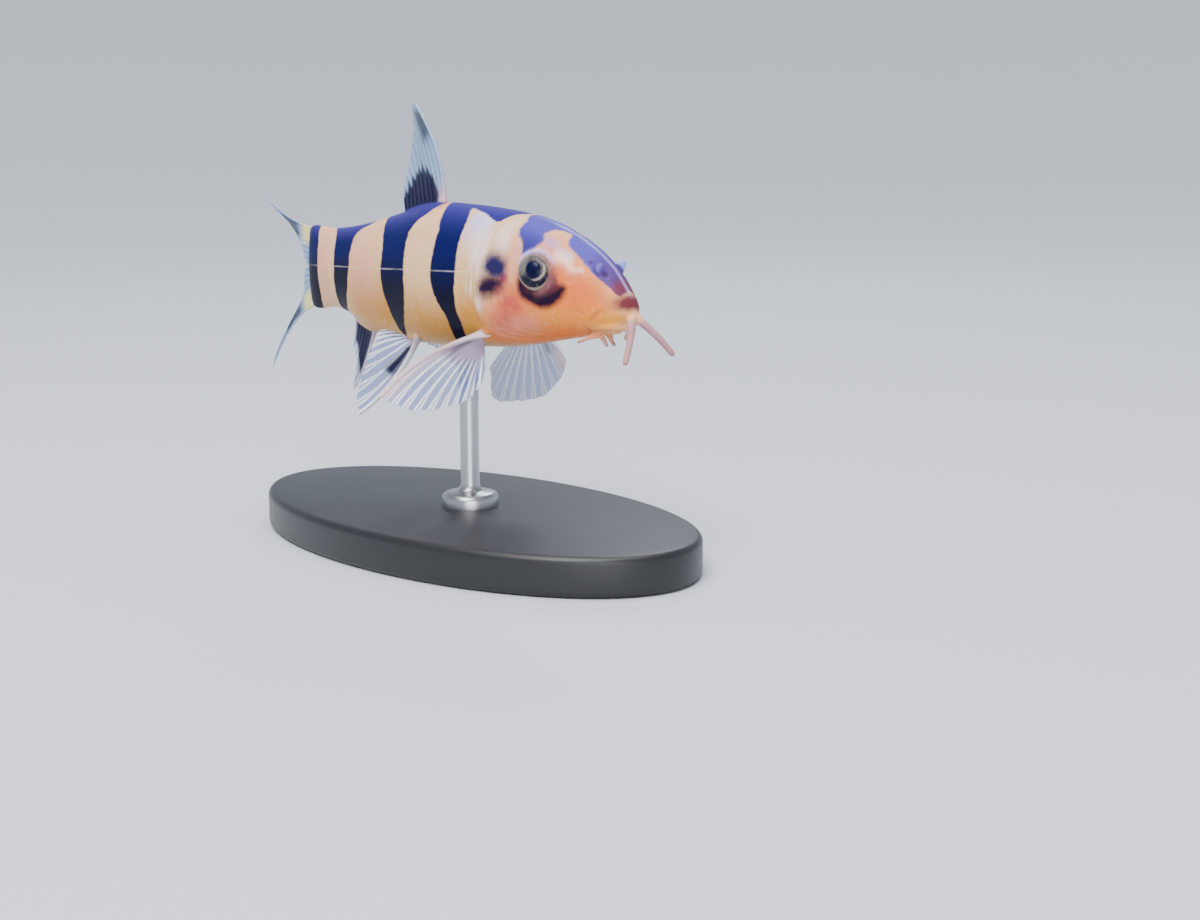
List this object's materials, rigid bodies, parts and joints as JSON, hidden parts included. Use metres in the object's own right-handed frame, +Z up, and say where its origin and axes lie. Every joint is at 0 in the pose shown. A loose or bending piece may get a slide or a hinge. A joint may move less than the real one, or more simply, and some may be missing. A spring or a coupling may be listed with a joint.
{
  "type": "clown yoyo hybrid loach",
  "caption": "Life-size still model of a young banded freshwater loach, fins spread and barbels forward, held over an oval display base by a slim rod.",
  "frame": {"origin": "centre of the base's underside, on the floor, straight below the rod", "axes": "+X towards the fish's snout, +Y towards the fish's left side, +Z up"},
  "size_m": [0.0703, 0.032, 0.0462],
  "materials": {
    "skin": "moist fish skin, cream and orange with navy bands, soft gloss",
    "eye": "clear wet gloss over a grey-gold iris and a black pupil",
    "fin": "thin translucent membrane with white rays and dusky patches",
    "barbel": "moist pinkish skin, soft gloss",
    "base": "satin black",
    "rod": "brushed"
  },
  "bodies": {
    "root": {"head": "skin", "trunk": "skin", "tail_stalk": "skin", "eye_left": "eye", "eye_right": "eye", "dorsal_fin": "fin", "anal_fin": "fin", "caudal_fin_upper": "fin", "caudal_fin_lower": "fin", "pectoral_fin_left": "fin", "pectoral_fin_right": "fin", "pelvic_fin_left": "fin", "pelvic_fin_right": "fin", "barbel_rostral_outer_left": "barbel", "barbel_rostral_outer_right": "barbel", "barbel_rostral_inner_left": "barbel", "barbel_rostral_inner_right": "barbel", "barbel_maxillary_left": "barbel", "barbel_maxillary_right": "barbel", "barbel_mandibular_left": "barbel", "barbel_mandibular_right": "barbel", "stand_base": "base", "stand_rod": "rod"}
  },
  "joints": []
}
